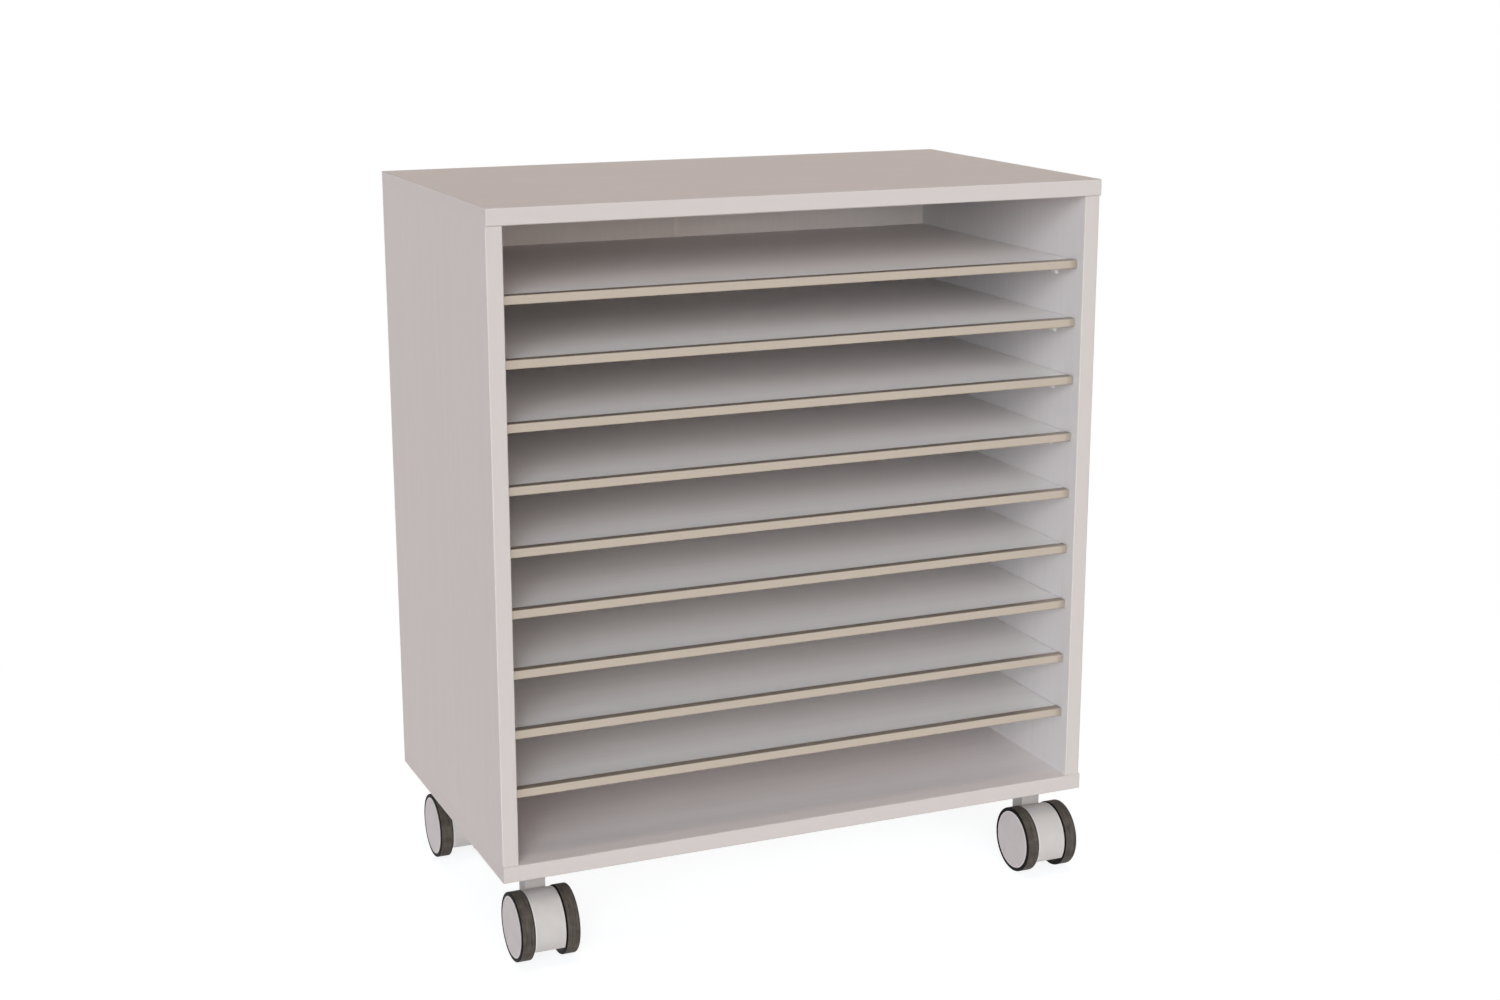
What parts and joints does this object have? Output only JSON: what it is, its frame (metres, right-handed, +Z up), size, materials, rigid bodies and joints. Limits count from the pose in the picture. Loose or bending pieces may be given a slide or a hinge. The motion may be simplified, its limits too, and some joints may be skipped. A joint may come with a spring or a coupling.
{
  "type": "mobile low shelving unit",
  "caption": "Low open-fronted laminated cabinet with closely spaced thin shelves edged in metal trim, rolling on twin-wheel swivel castors; stores flat sheets and trays.",
  "frame": {"origin": "on the floor, under the middle of the unit's outline; the front castors reach past the carcass, so the carcass centre is 9.5 mm behind the origin", "axes": "+Z up, +X to the right of a person facing the open front, -Y towards that person"},
  "size_m": [0.7, 0.419, 0.804],
  "materials": {
    "laminate": "satin laminate with a fine even grain",
    "back_board": "satin laminate with a fine even grain",
    "shelf_board": "satin laminate with a fine even grain",
    "champagne_metal": "champagne anodised, satin",
    "white_plastic": "moulded, satin",
    "strip_plastic": "extruded, satin",
    "beech": "turned and grooved",
    "zinc_steel": "zinc plated",
    "grey_plastic": "moulded, satin",
    "disc_plastic": "moulded, satin gloss",
    "black_plastic": "moulded, satin",
    "tyre_rubber": "smooth soft tread"
  },
  "bodies": {
    "carcass": {"top_panel": "laminate", "bottom_panel": "laminate", "left_side_panel": "laminate", "right_side_panel": "laminate", "back_panels": "back_board", "back_joining_strip": "strip_plastic", "shelf_supports": "white_plastic", "carcass_dowels": "beech", "castor_insert_nuts": "zinc_steel", "castor_stems": "zinc_steel"},
    "shelf_1": {"shelf_1": "shelf_board", "shelf_trim_1": "champagne_metal"},
    "shelf_2": {"shelf_2": "shelf_board", "shelf_trim_2": "champagne_metal"},
    "shelf_3": {"shelf_3": "shelf_board", "shelf_trim_3": "champagne_metal"},
    "shelf_4": {"shelf_4": "shelf_board", "shelf_trim_4": "champagne_metal"},
    "shelf_5": {"shelf_5": "shelf_board", "shelf_trim_5": "champagne_metal"},
    "shelf_6": {"shelf_6": "shelf_board", "shelf_trim_6": "champagne_metal"},
    "shelf_7": {"shelf_7": "shelf_board", "shelf_trim_7": "champagne_metal"},
    "shelf_8": {"shelf_8": "shelf_board", "shelf_trim_8": "champagne_metal"},
    "shelf_9": {"shelf_9": "shelf_board", "shelf_trim_9": "champagne_metal"},
    "front_left_swivel": {"front_left_castor_hood": "grey_plastic", "front_left_castor_axle": "zinc_steel"},
    "front_left_outer_wheel": {"front_left_outer_wheel": "black_plastic", "front_left_outer_tyre": "tyre_rubber", "front_left_outer_wheel_cap": "disc_plastic"},
    "front_left_inner_wheel": {"front_left_inner_wheel": "black_plastic", "front_left_inner_tyre": "tyre_rubber", "front_left_inner_wheel_cap": "disc_plastic"},
    "front_right_swivel": {"front_right_castor_hood": "grey_plastic", "front_right_castor_axle": "zinc_steel"},
    "front_right_outer_wheel": {"front_right_outer_wheel": "black_plastic", "front_right_outer_tyre": "tyre_rubber", "front_right_outer_wheel_cap": "disc_plastic"},
    "front_right_inner_wheel": {"front_right_inner_wheel": "black_plastic", "front_right_inner_tyre": "tyre_rubber", "front_right_inner_wheel_cap": "disc_plastic"},
    "rear_left_swivel": {"rear_left_castor_hood": "grey_plastic", "rear_left_castor_axle": "zinc_steel"},
    "rear_left_outer_wheel": {"rear_left_outer_wheel": "black_plastic", "rear_left_outer_tyre": "tyre_rubber", "rear_left_outer_wheel_cap": "disc_plastic"},
    "rear_left_inner_wheel": {"rear_left_inner_wheel": "black_plastic", "rear_left_inner_tyre": "tyre_rubber", "rear_left_inner_wheel_cap": "disc_plastic"},
    "rear_right_swivel": {"rear_right_castor_hood": "grey_plastic", "rear_right_castor_axle": "zinc_steel"},
    "rear_right_outer_wheel": {"rear_right_outer_wheel": "black_plastic", "rear_right_outer_tyre": "tyre_rubber", "rear_right_outer_wheel_cap": "disc_plastic"},
    "rear_right_inner_wheel": {"rear_right_inner_wheel": "black_plastic", "rear_right_inner_tyre": "tyre_rubber", "rear_right_inner_wheel_cap": "disc_plastic"}
  },
  "joints": [
    {"name": "shelf_1_slide", "type": "slide", "parent": "carcass", "child": "shelf_1", "axis": [0, -1, 0], "range_m": [0, 0.13]},
    {"name": "shelf_2_slide", "type": "slide", "parent": "carcass", "child": "shelf_2", "axis": [0, -1, 0], "range_m": [0, 0.13]},
    {"name": "shelf_3_slide", "type": "slide", "parent": "carcass", "child": "shelf_3", "axis": [0, -1, 0], "range_m": [0, 0.13]},
    {"name": "shelf_4_slide", "type": "slide", "parent": "carcass", "child": "shelf_4", "axis": [0, -1, 0], "range_m": [0, 0.13]},
    {"name": "shelf_5_slide", "type": "slide", "parent": "carcass", "child": "shelf_5", "axis": [0, -1, 0], "range_m": [0, 0.13]},
    {"name": "shelf_6_slide", "type": "slide", "parent": "carcass", "child": "shelf_6", "axis": [0, -1, 0], "range_m": [0, 0.13]},
    {"name": "shelf_7_slide", "type": "slide", "parent": "carcass", "child": "shelf_7", "axis": [0, -1, 0], "range_m": [0, 0.13]},
    {"name": "shelf_8_slide", "type": "slide", "parent": "carcass", "child": "shelf_8", "axis": [0, -1, 0], "range_m": [0, 0.13]},
    {"name": "shelf_9_slide", "type": "slide", "parent": "carcass", "child": "shelf_9", "axis": [0, -1, 0], "range_m": [0, 0.13]},
    {"name": "front_left_castor_swivel", "type": "hinge", "parent": "carcass", "child": "front_left_swivel", "pos_m": [-0.305, -0.1455, 0.08], "axis": [0, 0, 1], "continuous": true},
    {"name": "front_left_outer_wheel_spin", "type": "hinge", "parent": "front_left_swivel", "child": "front_left_outer_wheel", "pos_m": [-0.305, -0.172, 0.0375], "axis": [1, 0, 0], "continuous": true},
    {"name": "front_left_inner_wheel_spin", "type": "hinge", "parent": "front_left_swivel", "child": "front_left_inner_wheel", "pos_m": [-0.305, -0.172, 0.0375], "axis": [1, 0, 0], "continuous": true},
    {"name": "front_right_castor_swivel", "type": "hinge", "parent": "carcass", "child": "front_right_swivel", "pos_m": [0.305, -0.1455, 0.08], "axis": [0, 0, 1], "continuous": true},
    {"name": "front_right_outer_wheel_spin", "type": "hinge", "parent": "front_right_swivel", "child": "front_right_outer_wheel", "pos_m": [0.305, -0.172, 0.0375], "axis": [1, 0, 0], "continuous": true},
    {"name": "front_right_inner_wheel_spin", "type": "hinge", "parent": "front_right_swivel", "child": "front_right_inner_wheel", "pos_m": [0.305, -0.172, 0.0375], "axis": [1, 0, 0], "continuous": true},
    {"name": "rear_left_castor_swivel", "type": "hinge", "parent": "carcass", "child": "rear_left_swivel", "pos_m": [-0.305, 0.1645, 0.08], "axis": [0, 0, 1], "continuous": true},
    {"name": "rear_left_outer_wheel_spin", "type": "hinge", "parent": "rear_left_swivel", "child": "rear_left_outer_wheel", "pos_m": [-0.305, 0.138, 0.0375], "axis": [1, 0, 0], "continuous": true},
    {"name": "rear_left_inner_wheel_spin", "type": "hinge", "parent": "rear_left_swivel", "child": "rear_left_inner_wheel", "pos_m": [-0.305, 0.138, 0.0375], "axis": [1, 0, 0], "continuous": true},
    {"name": "rear_right_castor_swivel", "type": "hinge", "parent": "carcass", "child": "rear_right_swivel", "pos_m": [0.305, 0.1645, 0.08], "axis": [0, 0, 1], "continuous": true},
    {"name": "rear_right_outer_wheel_spin", "type": "hinge", "parent": "rear_right_swivel", "child": "rear_right_outer_wheel", "pos_m": [0.305, 0.138, 0.0375], "axis": [1, 0, 0], "continuous": true},
    {"name": "rear_right_inner_wheel_spin", "type": "hinge", "parent": "rear_right_swivel", "child": "rear_right_inner_wheel", "pos_m": [0.305, 0.138, 0.0375], "axis": [1, 0, 0], "continuous": true}
  ]
}
